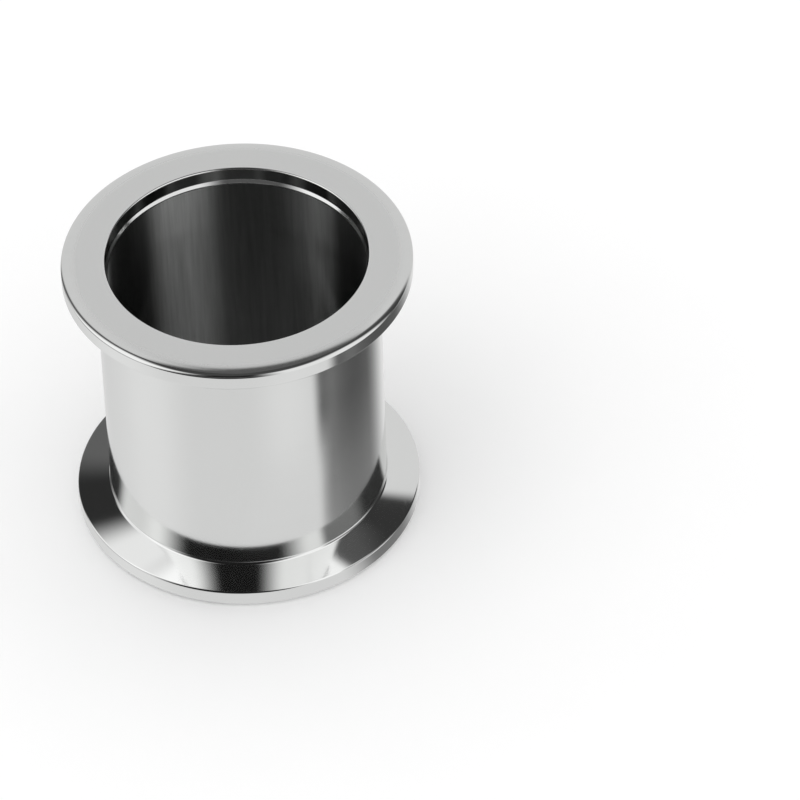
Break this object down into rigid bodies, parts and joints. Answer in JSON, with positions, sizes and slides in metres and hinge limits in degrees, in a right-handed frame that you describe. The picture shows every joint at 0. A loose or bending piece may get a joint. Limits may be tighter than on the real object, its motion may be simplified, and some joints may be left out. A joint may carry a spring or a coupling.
{
  "type": "vacuum spool pipe",
  "caption": "Short straight stainless vacuum pipe with a tapered clamp flange and a centring recess at each end.",
  "frame": {"origin": "centre of the lower sealing face, on the bore axis", "axes": "+Z along the bore, from the lower sealing face to the upper one; X and Y are free, the part is round"},
  "size_m": [0.055, 0.055, 0.05],
  "materials": {
    "stainless": "turned and polished stainless steel"
  },
  "bodies": {
    "root": {"spool_pipe": "stainless"}
  },
  "joints": []
}
